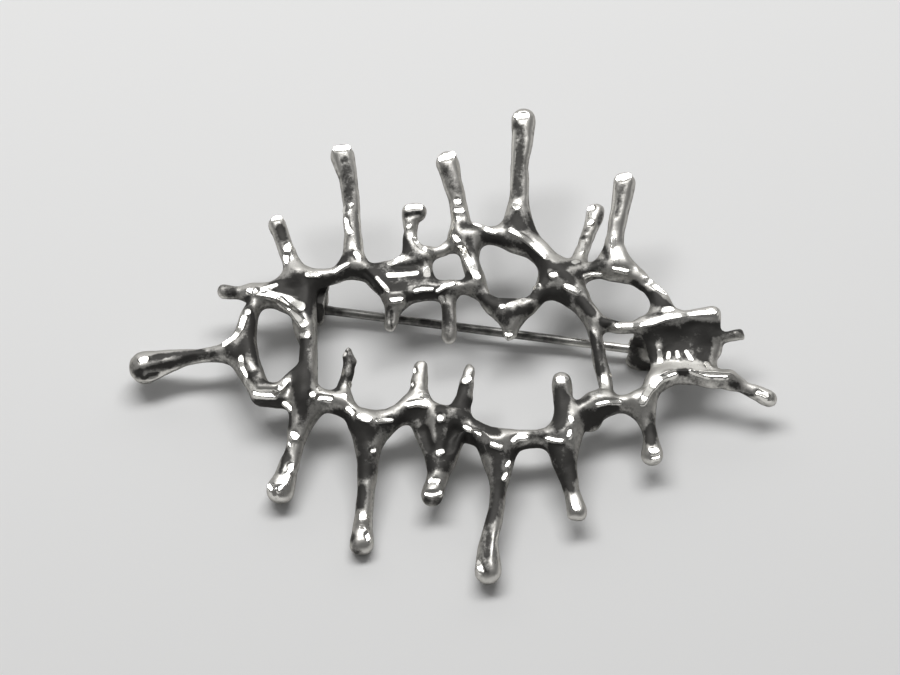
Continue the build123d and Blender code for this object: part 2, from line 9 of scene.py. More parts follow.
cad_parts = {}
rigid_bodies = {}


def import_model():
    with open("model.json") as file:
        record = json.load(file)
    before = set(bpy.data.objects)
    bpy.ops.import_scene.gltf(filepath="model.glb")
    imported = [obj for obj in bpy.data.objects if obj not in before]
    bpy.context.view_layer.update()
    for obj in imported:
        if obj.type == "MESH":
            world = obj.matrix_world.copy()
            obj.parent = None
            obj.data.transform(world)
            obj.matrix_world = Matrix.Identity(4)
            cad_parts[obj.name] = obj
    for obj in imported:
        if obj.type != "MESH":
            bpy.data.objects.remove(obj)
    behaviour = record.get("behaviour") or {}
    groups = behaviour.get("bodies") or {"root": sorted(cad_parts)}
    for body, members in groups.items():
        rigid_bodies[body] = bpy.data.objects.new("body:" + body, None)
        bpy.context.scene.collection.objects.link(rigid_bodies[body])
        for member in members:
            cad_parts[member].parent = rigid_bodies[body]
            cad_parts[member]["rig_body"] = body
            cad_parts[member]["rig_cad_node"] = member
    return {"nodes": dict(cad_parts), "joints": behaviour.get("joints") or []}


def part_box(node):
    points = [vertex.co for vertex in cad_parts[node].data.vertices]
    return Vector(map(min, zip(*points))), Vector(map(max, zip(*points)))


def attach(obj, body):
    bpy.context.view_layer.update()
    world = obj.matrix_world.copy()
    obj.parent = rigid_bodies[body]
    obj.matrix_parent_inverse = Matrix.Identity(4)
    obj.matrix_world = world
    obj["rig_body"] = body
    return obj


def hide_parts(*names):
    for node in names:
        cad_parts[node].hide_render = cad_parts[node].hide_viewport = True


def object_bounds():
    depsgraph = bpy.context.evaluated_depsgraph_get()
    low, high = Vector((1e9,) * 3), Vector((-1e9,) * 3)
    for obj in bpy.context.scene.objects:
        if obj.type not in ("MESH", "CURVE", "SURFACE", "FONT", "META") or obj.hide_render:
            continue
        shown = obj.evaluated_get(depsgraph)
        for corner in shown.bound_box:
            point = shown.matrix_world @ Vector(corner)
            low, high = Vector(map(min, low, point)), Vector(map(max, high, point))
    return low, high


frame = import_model()
cad_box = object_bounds()

# The view
# The brooch is seen from the front and 55 degrees above the surface, from 350 mm away. The picture
# takes in 100 mm at the middle of the casting, as a long portrait lens does.
MM = 0.001
VIEW_HEIGHT = math.radians(55)
VIEW_DISTANCE = 350 * MM
VIEW_WIDTH = 100 * MM
NEAREST_SEEN = 10 * MM
view_target = Vector((-0.17, 2.40, 2.78)) * MM
view_direction = Vector((0, math.cos(VIEW_HEIGHT), -math.sin(VIEW_HEIGHT)))
bpy.ops.object.camera_add(
    location=view_target - VIEW_DISTANCE * view_direction,
    rotation=view_direction.to_track_quat("-Z", "Y").to_euler(),
)
camera = bpy.context.object
camera.name = "camera"
camera.data.lens = camera.data.sensor_width * VIEW_DISTANCE / VIEW_WIDTH
camera.data.clip_start = NEAREST_SEEN
bpy.context.scene.camera = camera

# The studio
# A sheet of pale card, a long soft box behind and above the brooch, a pale board upright at the
# back, a wide pale ceiling and a dim room. The box is long from left to right, so bars that lie that
# way throw the darkest shadows, and the board shows in the metal's backward slopes.
CARD_WIDTH = 1.2
CARD_COLOUR = (0.84, 0.84, 0.835, 1)
LIGHT_DISTANCE = 0.50
BOX_WIDTH = 0.52
BOX_DEPTH = 0.15
BOX_BEHIND = math.radians(23)
BOX_LEFT = math.radians(4)
BOX_POWER = 1.92
CEILING_WIDTH = 0.9
CEILING_POWER = 0.31
BOARD_SIZE = (1.0, 0.36)
BOARD_HEIGHT = math.radians(23)
BOARD_POWER = 0.62
ROOM_LIGHT = 0.14
box_direction = Vector((-math.sin(BOX_LEFT), math.sin(BOX_BEHIND), math.cos(BOX_BEHIND))).normalized()
board_direction = Vector((0, math.cos(BOARD_HEIGHT), math.sin(BOARD_HEIGHT)))


def hang_light(name, width, depth, power, direction):
    """A soft light that faces the brooch from one direction."""
    bpy.ops.object.light_add(type="AREA")
    light = bpy.context.object
    light.name = name
    light.data.shape = "RECTANGLE"
    light.data.size = width
    light.data.size_y = depth
    light.data.energy = power
    light.location = direction * LIGHT_DISTANCE
    light.rotation_euler = (-light.location).to_track_quat("-Z", "Y").to_euler()


bpy.ops.mesh.primitive_plane_add(size=CARD_WIDTH)
card = bpy.context.object
card.name = "card"
card_material = bpy.data.materials.new("pale card")
card_material.use_nodes = True
card_shader = card_material.node_tree.nodes["Principled BSDF"]
card_shader.inputs["Base Color"].default_value = CARD_COLOUR
card_shader.inputs["Roughness"].default_value = 0.7
card_shader.inputs["Specular IOR Level"].default_value = 0.2
card.data.materials.append(card_material)
hang_light("soft box", BOX_WIDTH, BOX_DEPTH, BOX_POWER, box_direction)
hang_light("ceiling", CEILING_WIDTH, CEILING_WIDTH, CEILING_POWER, box_direction)
hang_light("board", *BOARD_SIZE, BOARD_POWER, board_direction)

room = bpy.data.worlds.new("room")
room.use_nodes = True
room.node_tree.nodes["Background"].inputs["Color"].default_value = (1, 1, 1, 1)
room.node_tree.nodes["Background"].inputs["Strength"].default_value = ROOM_LIGHT
bpy.context.scene.world = room
bpy.context.scene.view_settings.view_transform = "Standard"


# The casting
# One piece of silver, cast by lost wax: rings, bars and drips that ran together in the wax.
# The hinge's plate and ears and the catch are cut from sheet and soldered under it.
class Value:
    """A shader socket that takes part in arithmetic: each operation adds its own node."""

    def __init__(self, tree, socket):
        self.tree = tree
        self.socket = socket

    def node(self, kind, settings=None, inputs=None, output=0):
        """Adds a node and gives the value of one of its outputs."""
        made = self.tree.nodes.new(kind)
        for name, setting in (settings or {}).items():
            setattr(made, name, setting)
        for name, value in (inputs or {}).items():
            if isinstance(value, Value):
                self.tree.links.new(value.socket, made.inputs[name])
            else:
                made.inputs[name].default_value = value
        return Value(self.tree, made.outputs[output])

    def maths(self, operation, *values):
        return self.node("ShaderNodeMath", {"operation": operation}, dict(enumerate(values)))

    def __add__(self, other):
        return self.maths("ADD", self, other)

    __radd__ = __add__

    def __sub__(self, other):
        return self.maths("SUBTRACT", self, other)

    def __rsub__(self, other):
        return self.maths("SUBTRACT", other, self)

    def __mul__(self, other):
        return self.maths("MULTIPLY", self, other)

    __rmul__ = __mul__

    def within(self, low, high):
        """0 below low, 1 above high and a smooth rise between."""
        return self.node("ShaderNodeMapRange", {"interpolation_type": "SMOOTHSTEP"},
                         {"Value": self, "From Min": low, "From Max": high})

    def mix(self, first, second):
        """Colour that goes from first to second as this value goes from 0 to 1."""
        return self.node(
            "ShaderNodeMix", {"data_type": "RGBA"}, {0: self, 6: first, 7: second}, output=2)

    def feed(self, shader, name):
        """Links this value to one of the shader's inputs."""
        self.tree.links.new(self.socket, shader.inputs[name])


def metal(name):
    """A new metal material: its shader, and a value from which its other nodes are made."""
    material = bpy.data.materials.new(name)
    material.use_nodes = True
    return material, material.node_tree.nodes["Principled BSDF"], Value(material.node_tree, None)


def select_only(piece):
    """Makes one piece the only thing that the next operators act on."""
    bpy.ops.object.select_all(action="DESELECT")
    piece.hide_set(False)
    piece.select_set(True)
    bpy.context.view_layer.objects.active = piece


def apply_modifier(piece, kind, **settings):
    """Adds one modifier and makes it part of the mesh."""
    select_only(piece)
    modifier = piece.modifiers.new(kind.lower(), kind)
    for name, value in settings.items():
        setattr(modifier, name, value)
    bpy.ops.object.modifier_apply(modifier=modifier.name)


def points_of(mesh):
    """All of a mesh's points as rows of x, y and z."""
    points = np.empty(3 * len(mesh.vertices), np.float32)
    mesh.vertices.foreach_get("co", points)
    return points.reshape(-1, 3).astype(float)


def normals_of(mesh):
    """The outward direction at each of a mesh's points."""
    normals = np.empty(3 * len(mesh.vertices), np.float32)
    mesh.vertices.foreach_get("normal", normals)
    return normals.reshape(-1, 3).astype(float)


def move_points(mesh, points):
    """Puts a mesh's points at new places."""
    mesh.vertices.foreach_set("co", points.astype(np.float32).ravel())
    mesh.update()


# The pin's middle line runs from the rivet to the catch. The findings are made in a frame of their
# own, with X along that line, the rivet at X = 0 and the surface at Z = 0.
STEM_OVERHANG = 2.0 * MM
hinge = frame["joints"][0]
hinge_middle = Vector(hinge["pos_m"])
across_stem = Vector(hinge["axis"])
along_stem = across_stem.cross(Vector((0, 0, 1))).normalized()
stem_end = Vector((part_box("pin_stem")[1].x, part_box("pin_stem")[0].y, hinge_middle.z))
stem_run = (stem_end - hinge_middle).dot(along_stem) - STEM_OVERHANG
findings_frame = Matrix((along_stem, across_stem, (0, 0, 1))).transposed().to_4x4()
findings_frame.translation = (hinge_middle.x, hinge_middle.y, 0)

EAR_RADIUS = hinge_middle.z
EAR_THICKNESS = 0.8 * MM
EAR_OFFSET = 1.1 * MM
EAR_BORE = 0.48 * MM
PLATE_BOTTOM = 3.96 * MM
PLATE_SIZE = (3.5 * MM, 3.3 * MM, 1.0 * MM)
CATCH_INSIDE = 0.75 * MM
CATCH_WALL = 0.7 * MM
CATCH_WIDTH = 2.4 * MM
POST_TOP = 6.2 * MM
SHEET_EDGE = 0.12 * MM
SHARP_EDGE = math.radians(50)
SLACK = 0.02 * MM
# Points this close in height are level, and points this close together are one. Two triangles that
# bend no more than this between them become a quad.
LEVEL = 0.005 * MM
WELD = 0.001 * MM
QUAD_BEND = 1.2
SWELL_ROUNDS = 6

casting = frame["nodes"]["cast_frame"].copy()
casting.data = casting.data.copy()
casting.name = "casting"
casting.parent = None
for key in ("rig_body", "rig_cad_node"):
    if key in casting:
        del casting[key]
bpy.context.scene.collection.objects.link(casting)


def in_findings(point):
    """Whether a point, in the findings' frame, is on the plain plate, ears or catch."""
    half_catch = CATCH_INSIDE + CATCH_WALL + SLACK
    length, width, thickness = PLATE_SIZE
    at_hinge = (abs(point.x) < length / 2 + SLACK and abs(point.y) < width / 2 + SLACK
                and point.z < PLATE_BOTTOM + thickness + SLACK)
    in_arch = abs(point.y) < half_catch and point.z < hinge_middle.z + half_catch
    in_post = abs(point.y) < CATCH_WALL / 2 + SLACK and point.z < POST_TOP
    return at_hinge or (abs(point.x - stem_run) < CATCH_WIDTH / 2 + SLACK and (in_arch or in_post))


# The plain findings come off the copy, and finer ones take their place below.
select_only(casting)
bpy.ops.object.mode_set(mode="EDIT")
bpy.ops.mesh.select_all(action="SELECT")
bpy.ops.mesh.remove_doubles(threshold=WELD)
bpy.ops.mesh.select_all(action="DESELECT")
bpy.ops.object.mode_set(mode="OBJECT")
to_findings = findings_frame.inverted()
found = [in_findings(to_findings @ vertex.co) for vertex in casting.data.vertices]
for polygon in casting.data.polygons:
    polygon.select = all(found[index] for index in polygon.vertices)
bpy.ops.object.mode_set(mode="EDIT")
bpy.ops.mesh.delete(type="FACE")
bpy.ops.mesh.select_all(action="SELECT")
bpy.ops.mesh.fill_holes(sides=0)
bpy.ops.mesh.tris_convert_to_quads(face_threshold=QUAD_BEND, shape_threshold=QUAD_BEND)
bpy.ops.object.mode_set(mode="OBJECT")

# The smooth skin has to run through the casting's own points, so the net is swelled until it does.
points = points_of(casting.data)
net = points.copy()
smooth = casting.modifiers.new("smooth", "SUBSURF")
smooth.levels = 1
for _ in range(SWELL_ROUNDS):
    move_points(casting.data, net)
    bpy.context.view_layer.update()
    skin = casting.evaluated_get(bpy.context.evaluated_depsgraph_get()).data
    net += points - points_of(skin)[:len(points)]
move_points(casting.data, net)
smooth.levels = 2
smooth.render_levels = 2
select_only(casting)
bpy.ops.object.modifier_apply(modifier=smooth.name)


def select_points(piece, chosen):
    """Leaves a piece in edit mode with only the points selected that the test chooses."""
    select_only(piece)
    bpy.ops.object.mode_set(mode="EDIT")
    bpy.ops.mesh.select_mode(type="VERT")
    bpy.ops.mesh.select_all(action="DESELECT")
    bpy.ops.object.mode_set(mode="OBJECT")
    for vertex in piece.data.vertices:
        vertex.select = chosen(vertex.co)
    bpy.ops.object.mode_set(mode="EDIT")


def horseshoe(radius, turn, middle, leg_end):
    """Half a ring of wire points with two straight legs, left in edit mode with all selected."""
    bpy.ops.mesh.primitive_circle_add(vertices=48, radius=radius, location=middle, rotation=turn)
    piece = bpy.context.object
    bpy.ops.object.transform_apply(location=True, rotation=True, scale=True)
    side = math.copysign(1, leg_end - middle[2])
    select_points(piece, lambda point: (point.z - middle[2]) * side > LEVEL)
    bpy.ops.mesh.delete(type="VERT")
    bpy.ops.object.mode_set(mode="OBJECT")
    select_points(piece, lambda point: abs(point.z - middle[2]) < LEVEL)
    bpy.ops.mesh.extrude_vertices_move(TRANSFORM_OT_translate={"value": (0, 0, leg_end - middle[2])})
    bpy.ops.mesh.select_all(action="SELECT")
    return piece


def finish_edges(piece):
    """Files every sharp edge round, as sheet is finished before it is soldered."""
    bpy.ops.mesh.select_all(action="SELECT")
    bpy.ops.mesh.normals_make_consistent(inside=False)
    bpy.ops.mesh.select_mode(type="EDGE")
    bpy.ops.mesh.select_all(action="DESELECT")
    bpy.ops.mesh.edges_select_sharp(sharpness=SHARP_EDGE)
    bpy.ops.mesh.bevel(offset=SHEET_EDGE, segments=3, affect="EDGES")
    bpy.ops.object.mode_set(mode="OBJECT")
    return piece


def sheet_block(size, middle):
    """A rectangle of sheet."""
    bpy.ops.mesh.primitive_cube_add(size=1, location=middle, scale=size)
    piece = bpy.context.object
    bpy.ops.object.transform_apply(location=True, rotation=True, scale=True)
    bpy.ops.object.mode_set(mode="EDIT")
    return finish_edges(piece)


findings = [sheet_block(PLATE_SIZE, (0, 0, PLATE_BOTTOM + PLATE_SIZE[2] / 2))]
for side in (1, -1):
    ear_middle = (0, side * EAR_OFFSET - EAR_THICKNESS / 2, hinge_middle.z)
    ear = horseshoe(EAR_RADIUS, (math.radians(90), 0, 0), ear_middle, PLATE_BOTTOM + 2 * SHEET_EDGE)
    bpy.ops.mesh.edge_face_add()
    bpy.ops.mesh.extrude_region_move(TRANSFORM_OT_translate={"value": (0, EAR_THICKNESS, 0)})
    findings.append(finish_edges(ear))
    bpy.ops.mesh.primitive_cylinder_add(
        vertices=32, radius=EAR_BORE, depth=4 * EAR_OFFSET, location=(0, 0, hinge_middle.z),
        rotation=(math.radians(90), 0, 0))
    drill = bpy.context.object
    apply_modifier(ear, "BOOLEAN", operation="DIFFERENCE", object=drill)
    bpy.data.objects.remove(drill)

catch = horseshoe(CATCH_INSIDE + CATCH_WALL / 2, (math.radians(90), 0, math.radians(90)),
                  (stem_run - CATCH_WIDTH / 2, 0, hinge_middle.z), 0)
bpy.ops.mesh.extrude_region_move(TRANSFORM_OT_translate={"value": (CATCH_WIDTH, 0, 0)})
bpy.ops.object.mode_set(mode="OBJECT")
apply_modifier(catch, "SOLIDIFY", thickness=CATCH_WALL, offset=0, use_even_offset=True)
bpy.ops.object.mode_set(mode="EDIT")
findings.append(finish_edges(catch))
post_bottom = hinge_middle.z + CATCH_INSIDE + CATCH_WALL / 2
findings.append(sheet_block((CATCH_WIDTH, CATCH_WALL, POST_TOP - post_bottom),
                            (stem_run, 0, (POST_TOP + post_bottom) / 2)))
for piece in findings:
    piece.data.transform(findings_frame)

# One skin over the casting and what is soldered to it, with the solder run round in the corners.
SKIN_STEP = 0.13 * MM
select_only(casting)
for piece in findings:
    piece.select_set(True)
bpy.ops.object.join()
apply_modifier(casting, "REMESH", mode="VOXEL", voxel_size=SKIN_STEP)
apply_modifier(casting, "SMOOTH", factor=0.5, iterations=3)

# What was left in the wax and the polish: two pushes of the soft wax, rims burnished along their
# run, knobs burnished flat, dents, swellings, wear strokes, and soft unevenness all over. Heights and
# widths are in millimetres, and a place is a line of the photo's pixels laid on the skin seen there.
# The height of a wear stroke runs from about -1.4, black, to 1.2, light. The dark wear strokes are
# partly tarnish and partly painted shade, and the light ones partly wiped metal and partly painted
# sheen and reflection.
Stroke = namedtuple("Stroke", "height width pixels")
Push = namedtuple("Push", "right up width pixels")
PUSHES = {
    "front bar, arch's crown": Push(0, 1.5, 1.9, [(462, 449), (472, 446), (482, 448)]),
    "trough, front lip's under edge": Push(
        0, 0.9, 1.5, [(668, 382), (690, 382), (715, 383), (730, 384)]),
}
RIMS = {
    "back bar, knob": Stroke(0.05, 0.48, [(356, 253), (359, 258)]),
    "back bar, left rim": Stroke(0.06, 0.41, [(306, 275), (319, 275)]),
    "back bar, right rim": Stroke(0.06, 0.42, [(376, 277), (382, 284), (388, 291)]),
    "back bar, second rim": Stroke(0.06, 0.41, [(334, 272), (342, 267), (348, 264)]),
    "back drip 2, knobs": Stroke(0.06, 0.48, [(344, 211), (351, 205)]),
    "back drip 2, ridge": Stroke(0.05, 0.46, [(346, 219), (347, 227), (350, 233)]),
    "back drip 3, knob": Stroke(0.04, 0.43, [(408, 228), (410, 226)]),
    "back drip 3, rim": Stroke(0.06, 0.41, [(415, 239), (420, 246), (432, 253)]),
    "back drip 4, ridge": Stroke(0.07, 0.58, [(462, 250), (470, 265), (478, 278)]),
    "back drip 4, small knobs": Stroke(0.04, 0.41, [(455, 211), (463, 211)]),
    "back drip 5, knob": Stroke(0.05, 0.5, [(514, 205), (518, 208)]),
    "back drip 6, knob": Stroke(0.06, 0.48, [(589, 224), (592, 221)]),
    "back drip 6, ridge": Stroke(0.05, 0.38, [(583, 242), (582, 252)]),
    "back drip 6, root": Stroke(0.05, 0.41, [(573, 263), (578, 261)]),
    "back drip 7, ridge": Stroke(0.06, 0.4, [(613, 238), (614, 252), (617, 264)]),
    "back drip 7, root": Stroke(0.05, 0.48, [(614, 268), (627, 271)]),
    "front bar, eighth rim": Stroke(0.07, 0.43, [(547, 438), (555, 440), (562, 441)]),
    "front bar, fourth rim": Stroke(0.07, 0.46, [(408, 405), (417, 403), (426, 405)]),
    "front bar, knob": Stroke(0.06, 0.5, [(422, 395), (427, 396)]),
    "front bar, last rim": Stroke(0.07, 0.41, [(597, 404), (607, 402), (620, 402)]),
    "front bar, left knob": Stroke(0.04, 0.41, [(318, 389), (321, 388)]),
    "front bar, seventh rim": Stroke(0.07, 0.5, [(513, 441), (518, 437), (526, 437)]),
    "front bar, sixth rim": Stroke(0.07, 0.48, [(492, 444), (501, 447)]),
    "front bar, small knob": Stroke(0.05, 0.41, [(443, 415), (442, 420)]),
    "front bar, third rim": Stroke(0.05, 0.38, [(377, 421), (392, 420)]),
    "front drip 2, ridge": Stroke(0.05, 0.46, [(363, 515), (363, 521)]),
    "front drip 3, knob": Stroke(0.04, 0.43, [(438, 453), (443, 451)]),
    "front drip 4, bead": Stroke(0.05, 0.53, [(478, 562), (481, 571)]),
    "front drip 4, knob": Stroke(0.05, 0.43, [(506, 474), (504, 479)]),
    "front drip 4, upper knob": Stroke(0.05, 0.43, [(509, 462), (507, 466)]),
    "front spike 1, knobs": Stroke(0.05, 0.41, [(350, 383), (351, 387)]),
    "front spike 1, root": Stroke(0.04, 0.38, [(343, 395), (346, 396)]),
    "front spike 1, tip": Stroke(0.04, 0.41, [(345, 352), (345, 356)]),
    "front spike 3, head": Stroke(0.06, 0.53, [(464, 381), (470, 379)]),
    "front spike 4, head": Stroke(0.05, 0.53, [(558, 379), (567, 379)]),
    "inner spike 1, head": Stroke(0.06, 0.5, [(392, 300), (401, 299)]),
    "inner spike 2, knob": Stroke(0.04, 0.43, [(441, 297), (443, 301)]),
    "knob, light": Stroke(0.06, 0.53, [(552, 275), (555, 275)]),
    "knob, rim": Stroke(0.06, 0.5, [(566, 286), (572, 289), (578, 292)]),
    "large ring, back rim": Stroke(0.06, 0.46, [(471, 222), (481, 226), (493, 232)]),
    "large ring, front knobs": Stroke(0.06, 0.43, [(501, 307), (503, 307)]),
    "large ring, front rim": Stroke(0.05, 0.36, [(508, 305), (517, 302), (524, 299)]),
    "large ring, inner rim": Stroke(0.05, 0.36, [(528, 295), (533, 289), (539, 285)]),
    "large ring, right rim": Stroke(0.06, 0.43, [(510, 230), (524, 238), (537, 249), (546, 257)]),
    "leaf, back rim": Stroke(0.05, 0.43, [(389, 264), (396, 260), (403, 257)]),
    "leaf, knob": Stroke(0.05, 0.5, [(427, 269), (427, 276)]),
    "leaf, streak": Stroke(0.05, 0.41, [(388, 275), (400, 275), (417, 273)]),
    "left drip, dent's lip": Stroke(0.05, 0.38, [(143, 383), (151, 383), (166, 377)]),
    "left drip, knob": Stroke(0.03, 0.45, [(140, 360), (146, 358)]),
    "left ring, back rim": Stroke(0.07, 0.72, [(257, 291), (280, 297), (302, 307)]),
    "left ring, back rim's fork": Stroke(0.06, 0.43, [(262, 290), (277, 285)]),
    "left ring, front rim's right": Stroke(0.05, 0.5, [(276, 393), (282, 387), (287, 380)]),
    "left ring, inner rim": Stroke(0.06, 0.6, [(280, 301), (292, 312), (304, 325)]),
    "left ring, knob": Stroke(0.06, 0.54, [(301, 335), (308, 335)]),
    "left ring, lower rim": Stroke(0.06, 0.55, [(241, 358), (242, 367), (246, 376)]),
    "left ring, outer knob": Stroke(0.05, 0.48, [(247, 311), (248, 313)]),
    "left ring, outer rim": Stroke(0.06, 0.55, [(244, 317), (240, 329), (234, 337), (224, 344)]),
    "middle bar, right rim": Stroke(0.06, 0.41, [(437, 291), (445, 286), (454, 283)]),
    "middle bar, rim": Stroke(0.06, 0.41, [(415, 291), (422, 289), (432, 289)]),
    "right drip, knob": Stroke(0.04, 0.53, [(760, 394), (769, 399)]),
    "right ring, back rim": Stroke(0.04, 0.38, [(584, 276), (592, 274), (601, 274)]),
    "right ring, knob": Stroke(0.06, 0.53, [(664, 310), (672, 309)]),
    "right ring, right rim": Stroke(0.06, 0.48, [(647, 279), (655, 286), (665, 293)]),
    "strut, left foot": Stroke(0.05, 0.32, [(603, 376), (603, 388)]),
    "strut, right foot": Stroke(0.06, 0.38, [(610, 374), (614, 382), (616, 390)]),
    "trough, back lip": Stroke(
        0.08, 0.45, [(617, 326), (632, 326), (652, 323), (666, 318), (690, 314), (716, 312)]),
    "trough, first knob": Stroke(0.06, 0.36, [(659, 351), (660, 362)]),
    "trough, fourth knob": Stroke(0.05, 0.41, [(706, 363), (710, 368)]),
    "trough, front lip's left": Stroke(0.07, 0.53, [(642, 403), (649, 391), (659, 380), (675, 374)]),
    "trough, front lip's right": Stroke(0.07, 0.41, [(691, 371), (706, 376), (727, 377)]),
    "trough, second knob": Stroke(0.05, 0.28, [(669, 352), (668, 358)]),
    "trough, second knob's right": Stroke(0.05, 0.3, [(677, 351), (678, 357)]),
    "trough, third knob": Stroke(0.05, 0.3, [(686, 351), (692, 361)]),
}
FLATS = {
    "back drip 1, cap": Stroke(-0.08, 0.56, [(273, 218), (283, 216)]),
    "back drip 1, lower knob": Stroke(0.02, 0.52, [(286, 256), (286, 262)]),
    "back drip 1, upper knob": Stroke(0.02, 0.55, [(288, 245), (287, 251)]),
    "back drip 2, cap": Stroke(-0.1, 0.6, [(335, 148), (349, 147)]),
    "back drip 3, cap": Stroke(-0.07, 0.52, [(407, 207), (415, 206), (421, 206)]),
    "back drip 4, cap": Stroke(-0.1, 0.62, [(440, 158), (448, 156), (456, 153)]),
    "back drip 4, knob": Stroke(0.03, 0.45, [(457, 200), (459, 203)]),
    "back drip 4, ridge's middle": Stroke(0.02, 0.5, [(460, 246), (463, 252)]),
    "back drip 4, ridge's top": Stroke(0.02, 0.5, [(455, 236), (458, 242)]),
    "back drip 5, cap": Stroke(-0.06, 0.55, [(515, 116), (526, 115)]),
    "back drip 6, cap": Stroke(-0.06, 0.5, [(588, 209), (593, 207)]),
    "back drip 7, cap": Stroke(-0.1, 0.56, [(617, 178), (624, 177), (630, 175)]),
    "front bar, fifth rim's left": Stroke(0.03, 0.42, [(465, 427), (471, 430)]),
    "front bar, fifth rim's right": Stroke(0.03, 0.42, [(474, 431), (480, 434)]),
    "front bar, left rim": Stroke(0.03, 0.46, [(319, 398), (331, 399)]),
    "front bar, left rim's end": Stroke(0.03, 0.45, [(311, 393), (315, 396)]),
    "front bar, second rim's left": Stroke(0.03, 0.45, [(347, 409), (353, 413)]),
    "front bar, second rim's right": Stroke(0.03, 0.45, [(358, 416), (370, 420)]),
    "front drip 1, bead's end": Stroke(0.02, 0.45, [(281, 487), (278, 490)]),
    "front drip 1, bead's left": Stroke(0.02, 0.45, [(268, 486), (272, 488)]),
    "front drip 1, bead's middle": Stroke(0.02, 0.62, [(287, 476), (284, 483)]),
    "front drip 1, bead's top": Stroke(0.02, 0.48, [(291, 465), (291, 471)]),
    "front drip 1, small knob": Stroke(0.02, 0.3, [(288, 443), (290, 445)]),
    "front drip 1, upper knob": Stroke(0.04, 0.6, [(293, 434), (296, 438)]),
    "front drip 2, bead's middle": Stroke(0.02, 0.42, [(367, 534), (369, 540)]),
    "front drip 2, bead's top": Stroke(0.02, 0.42, [(361, 528), (365, 531)]),
    "front drip 2, knob": Stroke(0.02, 0.36, [(371, 451), (375, 451)]),
    "front drip 3, first band": Stroke(-0.02, 0.48, [(430, 481), (438, 481)]),
    "front drip 3, second band": Stroke(-0.04, 0.42, [(426, 494), (442, 494)]),
    "front drip 3, top knob": Stroke(0.02, 0.42, [(440, 415), (440, 421)]),
    "front drip 5, bead": Stroke(0.02, 0.48, [(574, 503), (576, 509)]),
    "front drip 6, lower knob": Stroke(0.02, 0.45, [(653, 458), (659, 458)]),
    "front drip 6, upper knob": Stroke(0.02, 0.48, [(652, 451), (658, 451)]),
    "front spike 2, lower knob": Stroke(0.02, 0.3, [(412, 384), (413, 385)]),
    "front spike 2, upper knob": Stroke(0.02, 0.38, [(414, 369), (415, 372)]),
    "front spike 4, lower knob": Stroke(0.02, 0.44, [(570, 430), (569, 437)]),
    "front spike 4, upper knob": Stroke(0.02, 0.42, [(571, 417), (572, 421)]),
    "inner spike 3, tip": Stroke(0.02, 0.45, [(506, 335), (511, 334)]),
    "left corner, knob": Stroke(0.05, 0.6, [(285, 404), (290, 408)]),
    "left ring, back rim's end": Stroke(0.02, 0.5, [(248, 291), (256, 291)]),
    "left ring, front rim's middle": Stroke(0.04, 0.6, [(255, 395), (275, 395)]),
    "right drip, knob": Stroke(0.02, 0.45, [(758, 392), (767, 397)]),
}
DENTS = {
    "back bar, groove": Stroke(-0.18, 0.45, [(364, 272), (373, 280), (382, 292)]),
    "back drip 3, throat": Stroke(-0.18, 0.50, [(406, 216), (420, 214)]),
    "back drip 5, flat": Stroke(-0.06, 1.0, [(522, 135), (520, 165), (521, 195)]),
    "front bar, hollow": Stroke(-0.16, 0.60, [(385, 409), (398, 400)]),
    "front drip 1, cleft": Stroke(-0.14, 0.36, [(276, 486), (276, 499)]),
    "front drip 3, left hollow": Stroke(-0.30, 0.90, [(424, 430), (429, 447)]),
    "front drip 3, right hollow": Stroke(-0.30, 0.90, [(455, 430), (449, 448)]),
    "front drip 4, fold": Stroke(-0.14, 0.50, [(490, 535), (487, 555)]),
    "inner spike 1, cleft": Stroke(-0.18, 0.40, [(392, 312), (393, 330)]),
    "leaf, hollow": Stroke(-0.16, 0.60, [(395, 267), (420, 264)]),
    "left drip, dent": Stroke(-0.30, 0.60, [(149, 377), (158, 375)]),
    "left drip, fold": Stroke(-0.16, 0.55, [(140, 371), (165, 366), (195, 358)]),
    "right drip, waist": Stroke(-0.14, 0.60, [(738, 384), (741, 388)]),
}
SWELLINGS = {
    "back drip 7, root": Stroke(0.15, 1.0, [(622, 250), (628, 262)]),
    "front drip 2": Stroke(0.22, 1.3, [(370, 450), (366, 480), (363, 520)]),
    "front drip 3, bead": Stroke(0.12, 1.2, [(434, 488), (436, 497)]),
    "front spike 1": Stroke(0.20, 0.9, [(347, 356), (350, 372)]),
    "front spike 3, root": Stroke(0.12, 1.0, [(452, 402), (463, 396), (476, 400)]),
}
